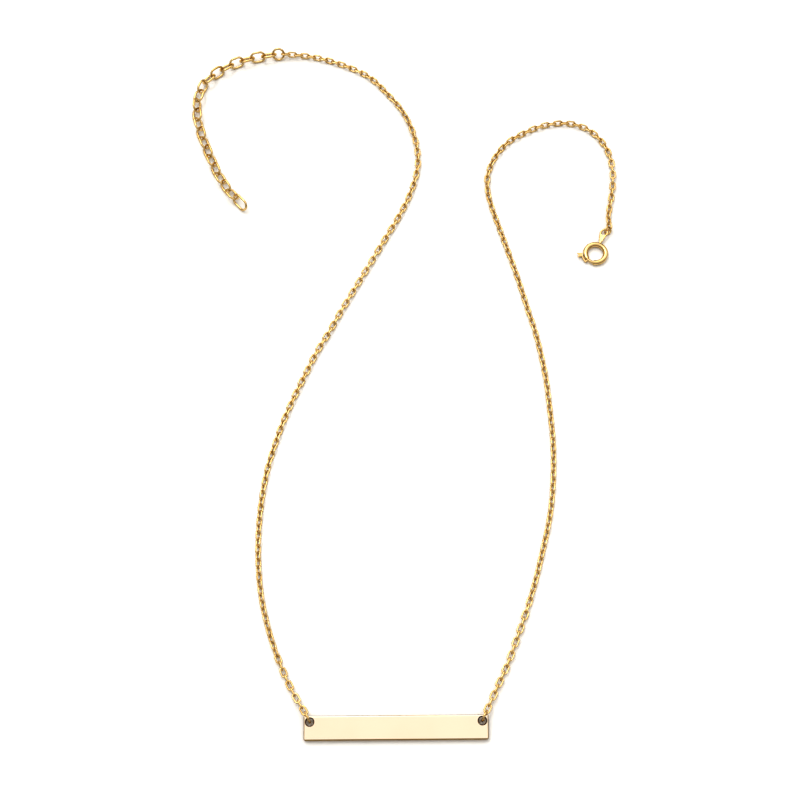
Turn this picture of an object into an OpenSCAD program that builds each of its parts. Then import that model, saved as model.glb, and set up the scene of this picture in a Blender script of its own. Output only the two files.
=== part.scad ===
// Bar necklace, unfastened and lying open on a flat surface: a polished bar, a fine cable chain from
// each of its upper corners, an extender chain on the left and a spring ring clasp on the right.
// The bar runs along X, its front edge faces -Y, and the surface is at Z = 0.

/* [Bar] */
// Length of the bar
bar_length = 36.5; // [28:0.1:46]
// Height of the bar's face, from its front edge to its back edge
bar_height = 4.8; // [4:0.1:8]
// Thickness of the bar
bar_thickness = 1.2; // [0.9:0.05:1.3]
// Rounding of the bar's corners, seen from its face
bar_corner = 0.35; // [0.25:0.05:0.5]
// Rounding of the bar's edges all round its two faces
bar_edge = 0.25; // [0.1:0.05:0.25]
// Diameter of the hole at each upper corner of the bar
hole_diameter = 1.5; // [1.4:0.05:1.9]
// Metal between a hole and the end of the bar
hole_side_margin = 0.44; // [0.4:0.02:1]
// Metal between a hole and the back edge of the bar
hole_back_margin = 0.44; // [0.4:0.02:0.54]
// Width of the bevel round each hole
hole_bevel = 0.2; // [0.1:0.02:0.26]

/* [Bar rings] */
// Inner diameter of the ring through each hole of the bar
bar_ring_inner = 1.8; // [1.75:0.05:2.2]
// Wire of the ring through each hole of the bar
bar_ring_wire = 0.42; // [0.3:0.02:0.5]
// Direction in which the left ring stands, anticlockwise from +X
left_ring_heading = 118; // [105:1:130]
// Direction in which the right ring stands, anticlockwise from +X
right_ring_heading = 65; // [50:1:75]

/* [Chain] */
// Inner length of a chain link
link_inner_length = 1.62; // [1.5:0.02:1.9]
// Inner width of a chain link
link_inner_width = 0.7; // [0.68:0.02:0.9]
// Wire of a chain link
link_wire = 0.36; // [0.26:0.02:0.38]
// Length of chain that comes down from a ring to the surface
fall_length = 9; // [6:1:14]

/* [Extender] */
// Number of extender links, with the end link
extender_count = 21; // [5:2:21]
// Inner length of an extender link
extender_inner_length = 2.7; // [2.5:0.05:2.9]
// Inner width of an extender link
extender_inner_width = 1.7; // [1.6:0.05:2]
// Wire of an extender link and of the end link
extender_wire = 0.5; // [0.34:0.02:0.54]
// Inner length of the end link
end_inner_length = 3.6; // [3:0.1:4.4]
// Inner width of the end link
end_inner_width = 1.9; // [1.6:0.05:2.2]
// Inner diameter of the ring between the chain and the extender
extender_ring_inner = 2.1; // [1.8:0.05:2.3]
// Wire of the ring between the chain and the extender
extender_ring_wire = 0.5; // [0.34:0.02:0.54]

/* [Clasp] */
// Outer diameter of the clasp's tube ring
clasp_diameter = 5.55; // [5:0.05:7]
// Diameter of the clasp's tube
clasp_tube = 1.1; // [0.95:0.05:1.3]
// Wall of the clasp's tube
clasp_wall = 0.175; // [0.12:0.005:0.2]
// Angle of the clasp's mouth
mouth_angle = 41; // [38:1:46]
// Angle from the clasp's eye to the near end of its mouth
mouth_start = 146; // [140:1:156]
// Angle by which the bolt slides back into the tube
bolt_travel = 40; // [30:1:42]
// Gap between the bolt and the bore of the tube
bolt_clearance = 0.05; // [0.02:0.01:0.08]
// Thickness of the thumb lever, across the clasp
lever_thickness = 0.36; // [0.25:0.01:0.44]
// Depth of the lever's arm and stem, outward from the clasp's centre
lever_depth = 0.26; // [0.18:0.02:0.34]
// Distance that the thumb piece stands out past the tube
thumb_reach = 1.15; // [0.8:0.05:1.5]
// Width of the thumb piece at its forked tip
thumb_width = 1; // [0.7:0.05:1.2]
// Inner diameter of the eye, a drop of wire soldered to the clasp by its two ends and a web between them
eye_inner = 1.2; // [1.15:0.05:1.5]
// Distance from the clasp's tube to the middle of the eye
eye_reach = 2.65; // [2.3:0.05:3]
// Wire of the eye
eye_wire = 0.42; // [0.3:0.02:0.44]
// Thickness of the web that fills the eye from its hole to the tube
eye_web = 0.32; // [0.2:0.02:0.36]
// Inner diameter of the jump ring between the chain and the clasp
jump_ring_inner = 1.2; // [1.15:0.05:1.5]
// Wire of the jump ring between the chain and the clasp
jump_ring_wire = 0.4; // [0.3:0.02:0.44]

/* [Fit] */
// Gap between two wires that hook into each other
play = 0.13; // [0.11:0.01:0.15]
// Gap between a piece and the wire that it rests on
rest_gap = 0.06; // [0.03:0.01:0.1]
// Gap between the thumb lever and the tube that it slides along
lever_gap = 0.07; // [0.04:0.01:0.1]

/* [Hidden] */
CHAINS = ["chain_left", "chain_right"];
EXTENDER = [for (i = [1:extender_count]) str("extender_link_", i < 10 ? "0" : "", i)];

gold = [0.83, 0.64, 0.28];
pale_gold = [0.93, 0.82, 0.52];

// Where the bar lies: the middle of its length, and its front edge
bar_x = -0.9;
bar_front_y = -80.9;

// Points that each strand runs through, in mm from the hole of the bar that it starts at
left_route = [
    [-2, 3.5], [-4, 7], [-6.5, 12.5], [-8, 16.5], [-9.5, 21.5], [-10.5, 26], [-11, 29.5], [-11.5, 38],
    [-11, 47.5], [-10, 54], [-9, 58], [-7, 64.5], [-5.5, 68.5], [-2.5, 75.5], [0, 81], [2.5, 85.5],
    [4.5, 89.5], [8, 96], [11, 101.5], [14.5, 108], [18, 114.5], [20, 119], [21, 122], [22, 128],
    [21.5, 133], [20, 138], [18, 142], [15, 146], [11, 150.5], [7, 153], [2.5, 155], [-2.5, 156.5],
    [-6.5, 157], [-11, 157], [-15, 156.5], [-19, 155.5], [-24.5, 152.5], [-27.5, 149.5],
    [-28.5, 147], [-29, 144], [-28.5, 139], [-27, 134], [-25, 129], [-23.5, 125.5], [-20.5, 120.5],
    [-17, 116.5]
];
right_route = [
    [2.5, 5.5], [5.5, 12], [7, 16], [8.5, 20], [11, 27.5], [13, 35], [14, 39], [15, 44], [15.5, 48],
    [16, 58], [15.5, 67.5], [15, 73.5], [14, 80], [13, 85], [11.5, 90.5], [10.5, 94.5], [9, 100],
    [7.5, 105], [6, 110], [4.5, 115], [3.5, 119.5], [3.5, 123.5], [5, 128], [7, 131], [9, 133],
    [11.5, 134.5], [14.5, 136], [18, 137], [23, 137], [26.5, 135.5], [29, 133], [31, 129],
    [31.5, 126.5], [31.5, 121], [31, 117.5], [30.5, 115], [30.1, 112.5],
    [30.25, 109.45]
];

// How the links are turned about their chain, as pairs of a share of its length and an angle.
// At 0 every other link lies flat and the rest stand upright, and at 45 all lean the same way.
left_lay = [
    [0, 0], [0.055, 0], [0.085, 45], [0.32, 45], [0.42, 30], [0.6, 25], [0.7, 35], [0.75, 15],
    [0.785, 15], [0.82, 38], [0.86, 45], [0.95, 42], [1, 38]
];
right_lay = [
    [0, 0], [0.115, 0], [0.145, 45], [0.655, 45], [0.68, 16], [0.705, 45], [0.87, 45], [0.995, -45],
    [1, -45]
];
extender_lay = [[0, 38], [0.32, 38], [0.4, 27], [0.5, 35], [0.6, 44], [0.8, 50], [1, 59]];

// Bar: it rests on its front edge and on the wires of its two rings, so its back edge is raised
hole_radius = hole_diameter/2;
hole_inset = hole_side_margin + hole_radius;
hole_back = hole_back_margin + hole_radius;
hole_spacing = bar_length - 2*hole_inset;
bar_lift = bar_ring_wire + rest_gap;
bar_tilt = asin(bar_lift/(bar_height - hole_back_margin - bar_edge));
bar_pivot = [0, bar_edge, bar_edge];
hole_reach = bar_height - hole_back - bar_edge;
hole_y = bar_front_y + bar_edge + hole_reach*cos(bar_tilt) - (bar_thickness/2 - bar_edge)*sin(bar_tilt);

// Pitch of each kind of link: its inner length less the play
link_pitch = link_inner_length - play;
extender_pitch = extender_inner_length - play;
end_pitch = end_inner_length - 3*play;
extender_ring_pitch = extender_ring_inner - play;
bar_ring_reach = (bar_ring_inner - play)/2;
bar_ring_z = bar_ring_inner/2 + bar_ring_wire;

// Jump ring: it leans on the surface, turned about a level line. The chain and the eye hook into it,
// at places measured from its middle.
jump_ring_line = 43;
jump_ring_lean = 51;
jump_ring_z = (jump_ring_inner + jump_ring_wire)/2*sin(jump_ring_lean) + jump_ring_wire/2 + rest_gap;
chain_hook = (jump_ring_inner - play)/2*[0.81, 0.675, 0.41];
eye_hook = ((eye_inner + jump_ring_inner)/2 - play)*[-0.8, -0.47, -0.055];

// Clasp: it rests on the far side of its tube, and its eye lies over the jump ring
clasp_radius = (clasp_diameter - clasp_tube)/2;
bore_radius = clasp_tube/2 - clasp_wall;
bolt_radius = bore_radius - bolt_clearance;
solder_depth = clasp_wall/2;
eye_lean = -21;
eye_x = clasp_diameter/2 + eye_reach;
eye_drop = eye_reach + solder_depth;
eye_mean_radius = (eye_inner + eye_wire)/2;
eye_half_angle = asin(eye_mean_radius/eye_drop);
clasp_heading = 67.5;
clasp_tilt = asin((jump_ring_z + eye_hook[2] - clasp_tube/2)/(clasp_radius + eye_x));
clasp_z = clasp_tube/2 + clasp_radius*sin(clasp_tilt);
mouth_end = mouth_start + mouth_angle;
stem_angle = lever_depth/clasp_radius*180/PI;
lever_angle = mouth_start + stem_angle;
tip_overlap = 6;
bolt_tail = 78;
arm_angle = 36;
thumb_angle = lever_angle - arm_angle;

// Smooth curve through the points of a route
steps_per_span = 12;

function unit(v) = v/norm(v);
function heading(angle) = [cos(angle), sin(angle)];
function tangent(p, i) =
    i == 0 ? unit(p[1] - p[0]) :
    i == len(p) - 1 ? unit(p[i] - p[i - 1]) :
    let (before = norm(p[i] - p[i - 1]), after = norm(p[i + 1] - p[i]))
    (unit(p[i] - p[i - 1])*after + unit(p[i + 1] - p[i])*before)/(before + after);
function span_point(p, i, u) =
    let (d = norm(p[i + 1] - p[i]))
    p[i]*(2*u*u*u - 3*u*u + 1) + tangent(p, i)*d*(u*u*u - 2*u*u + u)
    + p[i + 1]*(3*u*u - 2*u*u*u) + tangent(p, i + 1)*d*(u*u*u - u*u);
function curve(p) = concat(
    [for (i = [0:len(p) - 2]) for (k = [0:steps_per_span - 1]) span_point(p, i, k/steps_per_span)],
    [p[len(p) - 1]]);
function distances(q) =
    [for (i = 0, s = 0; i < len(q); i = i + 1, s = s + (i < len(q) ? norm(q[i] - q[i - 1]) : 0)) s];
function measured(q) =
    let (s = distances(q))
    [for (axis = [0, 1]) [for (i = [0:len(q) - 1]) [s[i], q[i][axis]]]];
function along(path, where) = [lookup(where, path[0]), lookup(where, path[1])];
function path_length(path) = path[0][len(path[0]) - 1][0];
function sums(steps) =
    [for (i = 0, s = 0; i <= len(steps); s = s + (i < len(steps) ? steps[i] : 0), i = i + 1) s];

// Height of a strand's middle where its links lean by an angle and just touch the surface
function lay_height(inner_width, wire, lean) =
    wire/2 + (inner_width + wire)/2*max(abs(sin(lean)), abs(cos(lean)));
function chain_height(lean) = lay_height(link_inner_width, link_wire, lean);
function fade(u) = u < 1 ? (1 - u)*(1 - u) : 0;
function extender_turn(number) = lookup((number - 0.5)/extender_count, extender_lay) + 90*(number - 1);
function extender_height(number) =
    number == 0 ? lay_height(extender_ring_inner, extender_ring_wire, extender_turn(0)) :
    lay_height(number < extender_count ? extender_inner_width : end_inner_width,
               extender_wire, extender_turn(number));
function extender_joint_height(k) = max(extender_height(k), extender_height(k + 1));
function chain_joint_height(k, count, total, lay, start_z, end_z) =
    let (z = max([for (side = [-0.5, 0.5]) chain_height(lookup((k + side)/count, lay))]))
    z + (start_z - z)*fade(k/count*total/fall_length) + (end_z - z)*fade((1 - k/count)*total/fall_length);

// Middle of a bar ring, measured from its hole: it is centred on the metal that it wraps
function bar_ring_distance(ring_heading) =
    (hole_radius + (hole_radius + hole_back_margin)/abs(sin(ring_heading)))/2;
function strand_path(hole, ring_heading, route) =
    let (start = heading(ring_heading)*(bar_ring_distance(ring_heading) + bar_ring_reach))
    measured(curve([for (p = concat([start], route)) hole + p]));

// Joint points, where two links hook into each other, with their heights
function joints(path, stations, heights) = [
    for (k = [0:len(stations) - 1])
        let (p = along(path, stations[k]))
        [p[0], p[1], heights[k]]
];

// Left strand: chain, ring, extender links and end link
left_hole = [bar_x - hole_spacing/2, hole_y];
left_path = strand_path(left_hole, left_ring_heading, left_route);
extender_steps = [for (i = [1:extender_count]) i < extender_count ? extender_pitch : end_pitch];
extender_length = sums(extender_steps)[extender_count];
left_length = path_length(left_path) - extender_ring_pitch - extender_length;
left_count = 2*ceil((left_length/link_pitch - 1)/2) + 1;
left_stations = sums(concat([for (i = [1:left_count]) left_length/left_count],
                            [extender_ring_pitch], extender_steps));
extender_ring_z = extender_height(0);
last_joint_z = extender_joint_height(extender_count - 1);
end_slope = 0.6*last_joint_z/end_pitch;
end_low_z = (extender_wire
             + (end_inner_width + extender_wire)*norm([sin(extender_turn(extender_count)), end_slope]))/2;
end_share = 1/2 + (end_inner_length - end_inner_width)/2/end_pitch;
end_joint_z = last_joint_z + (end_low_z - last_joint_z)/end_share;
left_heights = concat(
    [for (k = [0:left_count])
        chain_joint_height(k, left_count, left_length, left_lay, bar_ring_z, extender_ring_z)],
    [for (k = [0:extender_count - 1]) extender_joint_height(k)],
    [end_joint_z]);
left_joints = joints(left_path, left_stations, left_heights);

// Right strand: the chain, to where it hooks into the jump ring
right_hole = [bar_x + hole_spacing/2, hole_y];
right_path = strand_path(right_hole, right_ring_heading, right_route);
right_length = path_length(right_path);
right_count = 2*ceil(right_length/link_pitch/2);
right_stations = sums([for (i = [1:right_count]) right_length/right_count]);
right_heights = [
    for (k = [0:right_count])
        chain_joint_height(k, right_count, right_length, right_lay, bar_ring_z,
                           jump_ring_z + chain_hook[2])
];
right_joints = joints(right_path, right_stations, right_heights);

// The jump ring hangs on the end of the right strand, and the clasp on the jump ring
jump_ring_centre = right_joints[right_count] - chain_hook;
eye_centre = jump_ring_centre + eye_hook;
clasp_reach = eye_x*cos(clasp_tilt);
clasp_centre = [eye_centre[0] - clasp_reach*cos(clasp_heading),
                eye_centre[1] - clasp_reach*sin(clasp_heading), clasp_z];

// A closed link of round wire in the XY plane, long along X: two half rings and two straight bars
module link(inner_length, inner_width, wire) {
    half = (inner_length - inner_width)/2;
    mean_radius = (inner_width + wire)/2;
    for (side = [-1, 1]) {
        translate([side*half, 0, 0])
            rotate([0, 0, -90*side])
                rotate_extrude(angle = 180, $fn = 32)
                    translate([mean_radius, 0])
                        circle(d = wire, $fn = 16);
        translate([-half, side*mean_radius, 0])
            rotate([0, 90, 0])
                cylinder(d = wire, h = 2*half, $fn = 16);
    }
}

module ring(inner_diameter, wire) {
    rotate_extrude($fn = 40)
        translate([(inner_diameter + wire)/2, 0])
            circle(d = wire, $fn = 16);
}

// Lays a piece that is long along X between two points, turned about the line between them
module lay_between(a, b, turn) {
    d = b - a;
    translate((a + b)/2)
        rotate([0, -atan2(d[2], norm([d[0], d[1]])), atan2(d[1], d[0])])
            rotate([turn, 0, 0])
                children();
}

// A chain whose first link lies flat where its lay is 0
module chain(points, count, lay) {
    color(gold)
        for (i = [0:count - 1])
            lay_between(points[i], points[i + 1], lookup((i + 0.5)/count, lay) + 90*i)
                link(link_inner_length, link_inner_width, link_wire);
}

// A rectangle with round corners, its middle at x = 0 and its lower side at y = 0
module rounded_rectangle(width, height, radius) {
    translate([-width/2 + radius, 0])
        square([width - 2*radius, height]);
    translate([-width/2, radius])
        square([width, height - 2*radius]);
    for (x = [-1, 1])
        for (y = [radius, height - radius])
            translate([x*(width/2 - radius), y])
                circle(r = radius, $fn = 32);
}

module bar_body() {
    intersection() {
        linear_extrude(bar_thickness)
            rounded_rectangle(bar_length, bar_height, bar_corner);
        translate([0, bar_height, 0])
            rotate([90, 0, 0])
                linear_extrude(bar_height)
                    rounded_rectangle(bar_length, bar_thickness, bar_edge);
        translate([-bar_length/2, bar_height/2, 0])
            rotate([90, 0, 90])
                linear_extrude(bar_length)
                    rounded_rectangle(bar_height, bar_thickness, bar_edge);
    }
}

// A hole through the bar with a bevel at each face
module bar_hole() {
    translate([0, 0, -1])
        cylinder(r = hole_radius, h = bar_thickness + 2, $fn = 48);
    for (side = [0, 1])
        translate([0, 0, side*bar_thickness])
            mirror([0, 0, side])
                cylinder(r1 = hole_radius + hole_bevel, r2 = hole_radius, h = hole_bevel, $fn = 48);
}

module bar() {
    color(pale_gold)
        translate([bar_x, bar_front_y, 0])
            translate(bar_pivot)
                rotate([bar_tilt, 0, 0])
                    translate(-bar_pivot)
                        difference() {
                            bar_body();
                            for (side = [-1, 1])
                                translate([side*hole_spacing/2, bar_height - hole_back, 0])
                                    bar_hole();
                        }
}

// An upright ring that stands on the surface and wraps the metal behind a hole of the bar
module bar_ring(hole, ring_heading) {
    color(gold)
        translate([hole[0], hole[1], bar_ring_z])
            rotate([0, 0, ring_heading])
                translate([bar_ring_distance(ring_heading), 0, 0])
                    rotate([90, 0, 0])
                        ring(bar_ring_inner, bar_ring_wire);
}

module bar_ring_left() {
    bar_ring(left_hole, left_ring_heading);
}

module bar_ring_right() {
    bar_ring(right_hole, right_ring_heading);
}

module chain_left() {
    chain(left_joints, left_count, left_lay);
}

module chain_right() {
    chain(right_joints, right_count, right_lay);
}

module extender_ring() {
    color(gold)
        lay_between(left_joints[left_count], left_joints[left_count + 1], extender_turn(0))
            ring(extender_ring_inner, extender_ring_wire);
}

module extender_link(number) {
    first = left_joints[left_count + number];
    second = left_joints[left_count + number + 1];
    color(gold)
        lay_between(first, second, extender_turn(number))
            if (number < extender_count)
                link(extender_inner_length, extender_inner_width, extender_wire);
            else
                link(end_inner_length, end_inner_width, extender_wire);
}

module clasp_jump_ring() {
    color(gold)
        translate(jump_ring_centre)
            rotate([jump_ring_lean, 0, jump_ring_line])
                ring(jump_ring_inner, jump_ring_wire);
}

// Moves a piece of the clasp, drawn flat with its eye towards +X, to where the clasp lies
module on_clasp() {
    translate(clasp_centre)
        rotate([0, -clasp_tilt, clasp_heading])
            children();
}

// Part of a ring about Z: a section, drawn at its own distance out, swept from one angle to another
module swept(from, to) {
    rotate([0, 0, from])
        rotate_extrude(angle = to - from, $fn = 96)
            children();
}

// The stretch that the stem of the lever moves through, cut through the outer half of the tube
module lever_slot() {
    slot_end = lever_angle - bolt_travel - (lever_depth/2 + lever_gap)/clasp_radius*180/PI;
    slot_width = lever_thickness + 2*lever_gap;
    swept(slot_end, mouth_start + 2)
        translate([clasp_radius, -slot_width/2])
            square([clasp_tube, slot_width]);
}

// The eye: round at its far end, with two straight legs that meet at the tube and a web between them
module eye() {
    shoulder = eye_mean_radius*[-sin(eye_half_angle), cos(eye_half_angle)];
    rotate([eye_lean, 0, 0]) {
        rotate([0, 0, -90 - eye_half_angle])
            rotate_extrude(angle = 180 + 2*eye_half_angle, $fn = 48)
                translate([eye_mean_radius, 0])
                    circle(d = eye_wire, $fn = 16);
        for (side = [-1, 1])
            translate(eye_mean_radius*[-sin(eye_half_angle), side*cos(eye_half_angle), 0])
                rotate([0, -90, side*eye_half_angle])
                    cylinder(d = eye_wire, h = eye_drop*cos(eye_half_angle), $fn = 16);
        translate([0, 0, -eye_web/2])
            linear_extrude(eye_web)
                difference() {
                    polygon([[-eye_drop, 0], shoulder, [shoulder[0], -shoulder[1]]]);
                    circle(r = eye_mean_radius - eye_wire/4, $fn = 48);
                }
    }
}

module clasp_ring() {
    color(gold)
        on_clasp()
            difference() {
                union() {
                    swept(mouth_end - 360, mouth_start)
                        translate([clasp_radius, 0])
                            circle(d = clasp_tube, $fn = 32);
                    translate([eye_x, 0, 0])
                        eye();
                }
                swept(mouth_end - 361, mouth_start + 1)
                    translate([clasp_radius, 0])
                        circle(r = bore_radius, $fn = 32);
                lever_slot();
            }
}

// Outline of the thumb piece, from its root at the arm to its forked tip
module thumb_outline() {
    difference() {
        polygon([
            [0, -thumb_width/3], [thumb_reach, -thumb_width/2],
            [thumb_reach, thumb_width/2], [0, thumb_width/3]
        ]);
        translate([thumb_reach + thumb_width/4, 0])
            circle(r = thumb_width/2, $fn = 32);
    }
}

module clasp_bolt() {
    arm_radius = clasp_diameter/2 + lever_gap;
    color(gold)
        on_clasp() {
            swept(bolt_tail, mouth_end + tip_overlap)
                translate([clasp_radius, 0])
                    circle(r = bolt_radius, $fn = 32);
            rotate([0, 0, lever_angle])
                translate([clasp_radius, -lever_depth/2, -lever_thickness/2])
                    cube([arm_radius + lever_depth - clasp_radius, lever_depth, lever_thickness]);
            swept(thumb_angle, lever_angle)
                translate([arm_radius, -lever_thickness/2])
                    square([lever_depth, lever_thickness]);
            rotate([0, 0, thumb_angle])
                translate([arm_radius, 0, -lever_thickness/2])
                    linear_extrude(lever_thickness)
                        thumb_outline();
        }
}

bar();
bar_ring_left();
bar_ring_right();
chain_left();
chain_right();
extender_ring();
for (number = [1:extender_count])
    extender_link(number);
clasp_jump_ring();
clasp_ring();
clasp_bolt();
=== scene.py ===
"""Looks of the bar necklace: smooth wire over the CAD links and rings, gold, floor, light, camera."""
import math

import bpy
import numpy as np
from mathutils import Matrix, Vector


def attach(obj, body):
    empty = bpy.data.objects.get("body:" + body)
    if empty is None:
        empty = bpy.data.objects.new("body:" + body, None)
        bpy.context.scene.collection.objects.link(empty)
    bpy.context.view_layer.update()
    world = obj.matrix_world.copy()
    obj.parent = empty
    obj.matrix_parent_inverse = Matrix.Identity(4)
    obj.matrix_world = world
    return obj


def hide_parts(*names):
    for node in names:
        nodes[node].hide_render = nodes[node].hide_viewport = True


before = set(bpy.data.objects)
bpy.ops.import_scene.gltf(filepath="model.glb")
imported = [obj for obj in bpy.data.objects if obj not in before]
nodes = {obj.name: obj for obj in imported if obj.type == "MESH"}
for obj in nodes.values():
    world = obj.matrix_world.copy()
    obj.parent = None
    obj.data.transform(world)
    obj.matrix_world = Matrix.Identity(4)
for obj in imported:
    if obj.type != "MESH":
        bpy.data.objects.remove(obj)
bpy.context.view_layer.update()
scene = bpy.context.scene
MM = 0.001


# Camera, placed and rolled as fitted to the photograph
CAMERA_PLACE = (11.72, -152.21, 339.42)  # millimetres
CAMERA_FORWARD = (-0.03207, 0.39103, -0.91982)
CAMERA_ROLL = 5.12  # degrees
CAMERA_LENS, CAMERA_SENSOR = 77.67, 36  # millimetres

forward = Vector(CAMERA_FORWARD).normalized()
level = forward.cross(Vector((0, 0, 1))).normalized()
upward = level.cross(forward).normalized()
roll = math.radians(CAMERA_ROLL)
camera_right = level * math.cos(roll) - upward * math.sin(roll)
camera_up = level * math.sin(roll) + upward * math.cos(roll)
turn = Matrix((camera_right, camera_up, -forward)).transposed()

camera = bpy.data.objects.new("camera", bpy.data.cameras.new("camera"))
camera.data.sensor_width = CAMERA_SENSOR
camera.data.lens = CAMERA_LENS
camera.data.clip_start = 0.01
camera.data.clip_end = 20
camera.matrix_world = Matrix.Translation(Vector(CAMERA_PLACE) * MM) @ turn.to_4x4()
scene.collection.objects.link(camera)
scene.camera = camera


# Shader helpers
def new_material(name):
    material = bpy.data.materials.new(name)
    material.use_nodes = True
    material.node_tree.nodes.clear()
    return material, material.node_tree


def add(tree, kind, **inputs):
    """A new shader node of that kind, with values on some of its sockets."""
    node = tree.nodes.new(kind)
    for key, value in inputs.items():
        node.inputs[key].default_value = value
    return node


def math_node(tree, operation, *values):
    """The output of a Math node; each value is a number or a socket."""
    node = tree.nodes.new("ShaderNodeMath")
    node.operation = operation
    for socket, value in zip(node.inputs, values):
        if isinstance(value, (int, float)):
            socket.default_value = value
        else:
            tree.links.new(value, socket)
    return node.outputs[0]


def ramp(tree, stops, source):
    """The colour output of a ramp with these stops, each a position and a colour."""
    node = tree.nodes.new("ShaderNodeValToRGB")
    elements = node.color_ramp.elements
    while len(elements) < len(stops):
        elements.new(0.5)
    for element, (place, colour) in zip(elements, stops):
        element.position = place
        element.color = (*colour, 1)
    tree.links.new(source, node.inputs["Fac"])
    return node.outputs["Color"]


# Gold
EDGE_TINT = (0.75, 0.55, 0.25, 1)
HAIR_TURN, HAIR_STRETCH = (0.2, 0.1, 0.35), (1.0, 14.0, 14.0)
HAIR_DEPTH = 0.02 * MM
WORN = 2.2  # the most worn gold is this many times as rough as the smoothest

# The bar's two drilled holes, HOLE_OUT to each side of its middle, in millimetres
BAR_MIDDLE, HOLE_OUT, HOLE_Y = -0.9, 17.06, -77.35
# Painted shade in the drilled holes: their walls and bevels are coloured dark brown, fading to the
# side colour between these distances
HOLE_PAINTED_SHADE = (0.30, 0.19, 0.055)
HOLE_PAINTED_SHADE_ENDS = (1.0, 1.3)  # millimetres from the axis of a hole
# Painted shade on the bar: over this upward part of the normal, the darker side colour fades into the
# top colour
LOOKS_UP = (0.8, 0.95)  # upward part of the normal, from a side face to the top
BLACK, WHITE = (0, 0, 0), (1, 1, 1)


def with_sides(tree, place, top, side):
    """The colour top on faces that look up, and side, painted shade, on the others.
    The walls and bevels of the two drilled holes carry a darker painted shade still."""
    link = tree.links.new
    spot = add(tree, "ShaderNodeSeparateXYZ")
    link(place, spot.inputs["Vector"])
    # painted shade in the drilled holes: the distance from the nearer hole's axis
    from_middle = math_node(tree, "SUBTRACT", spot.outputs["X"], BAR_MIDDLE * MM)
    off_x = math_node(tree, "SUBTRACT", math_node(tree, "ABSOLUTE", from_middle), HOLE_OUT * MM)
    off_y = math_node(tree, "SUBTRACT", spot.outputs["Y"], HOLE_Y * MM)
    squares = [math_node(tree, "MULTIPLY", off, off) for off in (off_x, off_y)]
    away = math_node(tree, "SQRT", math_node(tree, "ADD", *squares))
    # painted shade: dark brown at a hole, the side colour further out
    hole_shade_stops = [(end * MM, colour) for end, colour in zip(HOLE_PAINTED_SHADE_ENDS, (HOLE_PAINTED_SHADE, side))]

    look = add(tree, "ShaderNodeSeparateXYZ")
    link(add(tree, "ShaderNodeNewGeometry").outputs["Normal"], look.inputs["Vector"])
    # painted shade: faces that don't look up get the darker side colour, not the top colour
    blend = add(tree, "ShaderNodeMixRGB")
    link(ramp(tree, list(zip(LOOKS_UP, (BLACK, WHITE))), look.outputs["Z"]), blend.inputs["Fac"])
    link(ramp(tree, hole_shade_stops, away), blend.inputs["Color1"])
    link(top, blend.inputs["Color2"])
    return blend.outputs["Color"]


def gold(name, light, mid, deep, rough, cloud_scale, hair_scale, bump, tone=None, side=None):
    """Polished gold: the colour wanders between light and deep, and fine hairlines break the
    polish and the reflection, as they do on worn plate. tone names the attribute that makes each
    link a little lighter or deeper, and side is painted shade on faces that don't look up."""
    material, tree = new_material(name)
    link = tree.links.new
    place = add(tree, "ShaderNodeTexCoord").outputs["Object"]
    cloud = add(tree, "ShaderNodeTexNoise", Scale=cloud_scale, Detail=4.0, Roughness=0.55)
    link(place, cloud.inputs["Vector"])
    share = cloud.outputs["Fac"]
    if tone:
        own = add(tree, "ShaderNodeAttribute")
        own.attribute_name = tone
        share = math_node(tree, "ADD", share, own.outputs["Fac"])
    colour = ramp(tree, [(0.3, deep), (0.5, mid), (0.7, light)], share)
    if side:
        colour = with_sides(tree, place, colour, side)

    stretch = add(tree, "ShaderNodeMapping", Rotation=HAIR_TURN, Scale=HAIR_STRETCH)
    link(place, stretch.inputs["Vector"])
    hairs = add(tree, "ShaderNodeTexNoise", Scale=hair_scale, Detail=3.0, Roughness=0.7)
    link(stretch.outputs["Vector"], hairs.inputs["Vector"])
    polish = ramp(tree, [(0.35, (rough,) * 3), (0.75, (rough * WORN,) * 3)], hairs.outputs["Fac"])
    surface = add(tree, "ShaderNodeBump", Strength=bump, Distance=HAIR_DEPTH)
    link(hairs.outputs["Fac"], surface.inputs["Height"])

    shader = add(tree, "ShaderNodeBsdfPrincipled", Metallic=1.0)
    shader.inputs["Specular Tint"].default_value = EDGE_TINT
    link(colour, shader.inputs["Base Color"])
    link(polish, shader.inputs["Roughness"])
    link(surface.outputs["Normal"], shader.inputs["Normal"])
    link(shader.outputs["BSDF"], add(tree, "ShaderNodeOutputMaterial").inputs["Surface"])
    return material


# The bar's side colour is painted shade, darker and deeper than its top
bar_gold = gold("bar gold", light=(0.82, 0.705, 0.565), mid=(0.81, 0.695, 0.555),
                deep=(0.80, 0.68, 0.54), rough=0.05, cloud_scale=90.0, hair_scale=700.0,
                bump=0.04, side=(0.35, 0.22, 0.06))
chain_gold = gold("chain gold", light=(0.75, 0.57, 0.30), mid=(0.70, 0.515, 0.25),
                  deep=(0.64, 0.45, 0.19), rough=0.08, cloud_scale=700.0, hair_scale=2500.0,
                  bump=0.15, tone="link_tone")


# Links and rings of wire: inner length, inner width and wire in millimetres, as in the CAD
CHAIN_LINK = (1.62, 0.70, 0.36)
EXTENDER_LINK = (2.70, 1.70, 0.50)
END_LINK = (3.60, 1.90, 0.50)
BAR_RING = (1.80, 1.80, 0.42)
EXTENDER_RING = (2.10, 2.10, 0.50)
JUMP_RING = (1.20, 1.20, 0.40)

# The soldered joint: how much the wire swells or shrinks there, and its measures in wires
BEAD, GROOVE = 0.05, -0.12
JOINT_STEP, JOINT_SPREAD, JOINT_HALF = 0.05, 0.08, 0.25
BEAD_STRETCH = 2.5
JOINT_HINT = (0.3, 0.9, 0.3)  # turns the joints of the round rings to the same side
SAME_PLACE = 1e-7  # metres
LINK_TONE = 0.12


def is_round(shape):
    length, width, _ = shape
    return length == width


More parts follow.
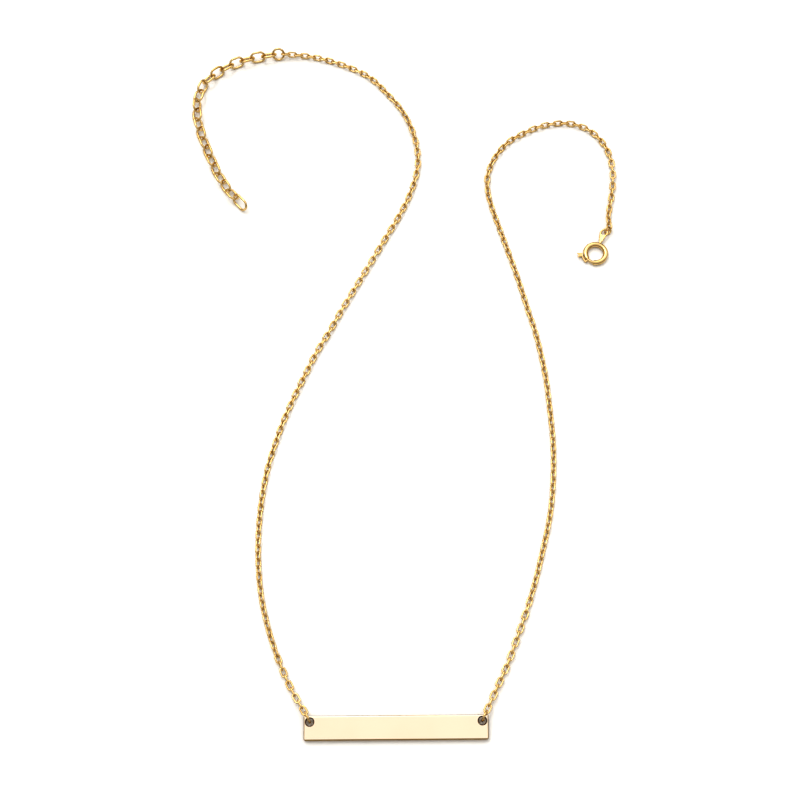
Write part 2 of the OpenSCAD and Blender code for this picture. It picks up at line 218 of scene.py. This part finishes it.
def wire_shape(shape, bends, sides, joint):
    """One closed loop of round wire, centred on the origin, long along X and flat in XY, as
    points in metres and faces. bends is the number of steps in a half turn, and sides those
    round the wire. The joint is a thin groove in a round ring, or a low bead halfway along one
    straight side of a link."""
    length, width, wire = shape
    radius = (width + wire) / 2
    straight = (length - width) / 2
    steps = [JOINT_STEP * wire * k for k in range(-4, 5)]
    swells = [1 + joint * math.exp(-(step / (JOINT_SPREAD * wire)) ** 2) for step in steps]
    spine = []

    def bend(x, a, swell=1.0):
        cos, sin = math.cos(a), math.sin(a)
        spine.append((x + radius * cos, radius * sin, cos, sin, swell))

    if is_round(shape):
        half = JOINT_HALF * wire / radius
        for i in range(2 * bends + 1):
            bend(0, math.pi / 2 + half + (2 * math.pi - 2 * half) * i / (2 * bends))
        for step, swell in zip(steps, swells):
            bend(0, math.pi / 2 + step / radius, swell)
    else:
        for i in range(bends + 1):
            bend(straight, math.pi * (i / bends - 0.5))
        for step, swell in zip(steps, swells):
            spine.append((-BEAD_STRETCH * step, radius, 0.0, 1.0, swell))
        for i in range(bends + 1):
            bend(-straight, math.pi * (i / bends + 0.5))

    points = []
    for x, y, outward_x, outward_y, swell in spine:
        for s in range(sides):
            b = 2 * math.pi * s / sides
            reach, lift = wire / 2 * swell * math.cos(b), wire / 2 * swell * math.sin(b)
            points.append((x + outward_x * reach, y + outward_y * reach, lift))
    faces = []
    for i in range(len(spine)):
        here, there = i * sides, (i + 1) % len(spine) * sides
        for s in range(sides):
            after = (s + 1) % sides
            faces.append([here + s, there + s, there + after, here + after])
    return np.array(points) * MM, np.array(faces)


def shells(mesh):
    """The loose solids of a mesh, each as the corners of its triangles."""
    mesh.calc_loop_triangles()
    corners = np.array([v.co for v in mesh.vertices])
    triangles = np.array([t.vertices for t in mesh.loop_triangles])
    grid = np.round(corners / SAME_PLACE).astype(np.int64)
    keys = np.unique(grid, axis=0, return_inverse=True)[1].reshape(-1)
    parent = np.arange(keys.max() + 1)

    def root(i):
        while parent[i] != i:
            parent[i] = parent[parent[i]]
            i = parent[i]
        return i

    for a, b, c in keys[triangles]:
        ra, rb, rc = root(a), root(b), root(c)
        parent[rb] = ra
        parent[rc] = ra
    owner = np.array([root(i) for i in keys[triangles[:, 0]]])
    return [corners[triangles[owner == one]] for one in dict.fromkeys(owner.tolist())]


def axes_of(faces, round_loop):
    """Centre and principal axes (long, wide, thin) of one solid's skin."""
    a, b, c = faces[:, 0], faces[:, 1], faces[:, 2]
    area = np.linalg.norm(np.cross(b - a, c - a), axis=1) / 2
    middle = (a + b + c) / 3
    centre = (middle * area[:, None]).sum(0) / area.sum()
    spread = np.zeros((3, 3))
    for p in ((a + b) / 2, (b + c) / 2, (c + a) / 2):
        q = p - centre
        spread += (q * area[:, None]).T @ q
    thin_way, wide_way, long_way = np.linalg.eigh(spread)[1].T
    if round_loop:
        long_way = np.cross(JOINT_HINT, thin_way)
        long_way /= np.linalg.norm(long_way)
        wide_way = np.cross(thin_way, long_way)
    thin_way = np.cross(long_way, wide_way)
    if thin_way[2] < 0:
        wide_way, thin_way = -wide_way, -thin_way
    return centre, np.stack([long_way, wide_way, thin_way], 1)


def wire_piece(node, shape, seed, bends, sides, joint):
    """One piece for a CAD node of wire loops: each loop lies exactly where the CAD one does."""
    loop_points, loop_faces = wire_shape(shape, bends, sides, joint)
    random = np.random.default_rng(seed)
    points, faces, tones = [], [], []
    for count, solid in enumerate(shells(nodes[node].data)):
        centre, way = axes_of(solid, is_round(shape))
        faces.append(loop_faces + count * len(loop_points))
        points.append(loop_points @ way.T + centre)
        tone = random.uniform(-LINK_TONE, LINK_TONE)
        tones.append(np.full(len(loop_points), tone, np.float32))
    mesh = bpy.data.meshes.new(node + "_wire")
    mesh.from_pydata(np.concatenate(points).tolist(), [], np.concatenate(faces).tolist())
    mesh.polygons.foreach_set("use_smooth", [True] * len(mesh.polygons))
    link_tone = mesh.attributes.new("link_tone", "FLOAT", "POINT")
    link_tone.data.foreach_set("value", np.concatenate(tones))
    mesh.materials.append(chain_gold)
    piece = bpy.data.objects.new(node + "_wire", mesh)
    scene.collection.objects.link(piece)
    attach(piece, "necklace")
    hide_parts(node)


for seed, name in enumerate(("chain_left", "chain_right"), 3):
    wire_piece(name, CHAIN_LINK, seed, bends=12, sides=14, joint=BEAD)

extender = sorted(name for name in nodes if name.startswith("extender_link_"))
for seed, name in enumerate(extender, 20):
    shape = END_LINK if name == extender[-1] else EXTENDER_LINK
    wire_piece(name, shape, seed, bends=18, sides=20, joint=BEAD)

rings = {"bar_ring_left": BAR_RING, "bar_ring_right": BAR_RING,
         "extender_ring": EXTENDER_RING, "clasp_jump_ring": JUMP_RING}
for seed, (name, shape) in enumerate(rings.items(), 5):
    wire_piece(name, shape, seed, bends=24, sides=20, joint=GROOVE)


# Carried-over CAD nodes: the bar keeps its crisp faces, and the clasp is shaded round
CREASE = 28  # degrees between two faces, above which their edge stays sharp
WELD = 1e-6  # metres


def round_shading(node):
    tree = bpy.data.node_groups.new("round shading", "GeometryNodeTree")
    for way in ("INPUT", "OUTPUT"):
        tree.interface.new_socket("Geometry", in_out=way, socket_type="NodeSocketGeometry")
    start, end = tree.nodes.new("NodeGroupInput"), tree.nodes.new("NodeGroupOutput")
    weld = add(tree, "GeometryNodeMergeByDistance", Distance=WELD)
    faces = add(tree, "GeometryNodeSetShadeSmooth")
    faces.domain = "FACE"
    angle = add(tree, "GeometryNodeInputMeshEdgeAngle")
    above = add(tree, "FunctionNodeCompare")
    above.data_type, above.operation = "FLOAT", "GREATER_THAN"
    above.inputs["B"].default_value = math.radians(CREASE)
    edges = add(tree, "GeometryNodeSetShadeSmooth")
    edges.domain = "EDGE"
    edges.inputs["Shade Smooth"].default_value = False
    link = tree.links.new
    link(start.outputs["Geometry"], weld.inputs["Geometry"])
    link(weld.outputs["Geometry"], faces.inputs["Geometry"])
    link(faces.outputs["Geometry"], edges.inputs["Geometry"])
    link(angle.outputs["Unsigned Angle"], above.inputs["A"])
    link(above.outputs["Result"], edges.inputs["Selection"])
    link(edges.outputs["Geometry"], end.inputs["Geometry"])
    modifier = node.modifiers.new("round shading", "NODES")
    modifier.node_group = tree


for name in ("bar", "clasp_ring", "clasp_bolt"):
    node = nodes[name]
    node.data.materials.clear()
    node.data.materials.append(bar_gold if name == "bar" else chain_gold)
    if name != "bar":
        round_shading(node)


# Floor
FLOOR_HALF = 6  # metres

floor_paint, tree = new_material("floor")
cloud = add(tree, "ShaderNodeTexNoise", Scale=40.0, Detail=2.0)
tint = ramp(tree, [(0.3, (0.945, 0.94, 0.935)), (0.7, (0.955, 0.95, 0.945))], cloud.outputs["Fac"])
shader = add(tree, "ShaderNodeBsdfPrincipled", Roughness=0.8)
tree.links.new(tint, shader.inputs["Base Color"])
tree.links.new(shader.outputs["BSDF"], add(tree, "ShaderNodeOutputMaterial").inputs["Surface"])

floor_mesh = bpy.data.meshes.new("floor")
signs = ((-1, -1), (1, -1), (1, 1), (-1, 1))
floor_mesh.from_pydata([(x * FLOOR_HALF, y * FLOOR_HALF, 0) for x, y in signs], [], [(0, 1, 2, 3)])
floor_mesh.materials.append(floor_paint)
floor = bpy.data.objects.new("floor", floor_mesh)
scene.collection.objects.link(floor)


# Light: a tent, darker low on its walls, with one small lamp and two weak soft lights
TENT = (
    # upward part of the direction, glow
    (0.0, 0.75),
    (0.07, 0.5),
    (0.16, 0.22),
    (0.45, 0.27),
    (0.6, 0.56),
    (0.75, 0.85),
    (0.92, 0.98),
)
TENT_TINT = (1, 0.98, 0.94)
TENT_LEAN = 0.35  # the share by which the tent is brighter toward +Y, and darker toward -Y
LAMPS = (
    # direction around from +X, height above the floor and half angle in degrees, radiance
    (125, 68, 6, 5.0),
    (112, 46, 20, 1.5),
    (28, 45, 16, 0.6),
)
LAMP_BLUR = 4  # degrees to each side of a lamp's edge


def toward(around, above):
    a, b = math.radians(around), math.radians(above)
    return math.cos(a) * math.cos(b), math.sin(a) * math.cos(b), math.sin(b)


world = bpy.data.worlds.new("studio")
world.use_nodes = True
tree = world.node_tree
tree.nodes.clear()
way = add(tree, "ShaderNodeTexCoord").outputs["Generated"]
split = add(tree, "ShaderNodeSeparateXYZ")
tree.links.new(way, split.inputs["Vector"])
tent_stops = [(height, [glow * part for part in TENT_TINT]) for height, glow in TENT]
lean = math_node(tree, "ADD", math_node(tree, "MULTIPLY", split.outputs["Y"], TENT_LEAN), 1.0)
tent = add(tree, "ShaderNodeBackground")
tree.links.new(ramp(tree, tent_stops, split.outputs["Z"]), tent.inputs["Color"])
tree.links.new(lean, tent.inputs["Strength"])

light = 0.0
for around, above, half_angle, radiance in LAMPS:
    dot = add(tree, "ShaderNodeVectorMath")
    dot.operation = "DOT_PRODUCT"
    tree.links.new(way, dot.inputs[0])
    dot.inputs[1].default_value = toward(around, above)
    edge = add(tree, "ShaderNodeMapRange")
    edge.interpolation_type = "SMOOTHSTEP"
    edge.inputs["From Min"].default_value = math.cos(math.radians(half_angle + LAMP_BLUR))
    edge.inputs["From Max"].default_value = math.cos(math.radians(half_angle - LAMP_BLUR))
    edge.inputs["To Max"].default_value = radiance
    tree.links.new(dot.outputs["Value"], edge.inputs["Value"])
    light = math_node(tree, "ADD", light, edge.outputs["Result"])
lamps = add(tree, "ShaderNodeBackground", Color=(1, 1, 1, 1))
tree.links.new(light, lamps.inputs["Strength"])

both = add(tree, "ShaderNodeAddShader")
tree.links.new(tent.outputs["Background"], both.inputs[0])
tree.links.new(lamps.outputs["Background"], both.inputs[1])
tree.links.new(both.outputs["Shader"], add(tree, "ShaderNodeOutputWorld").inputs["Surface"])
scene.world = world

# Exposed so that the floor clips to white, with a gamma that keeps the gold deep
scene.view_settings.view_transform = "Standard"
scene.view_settings.look = "None"
scene.view_settings.exposure = 0.5
scene.view_settings.gamma = 0.72
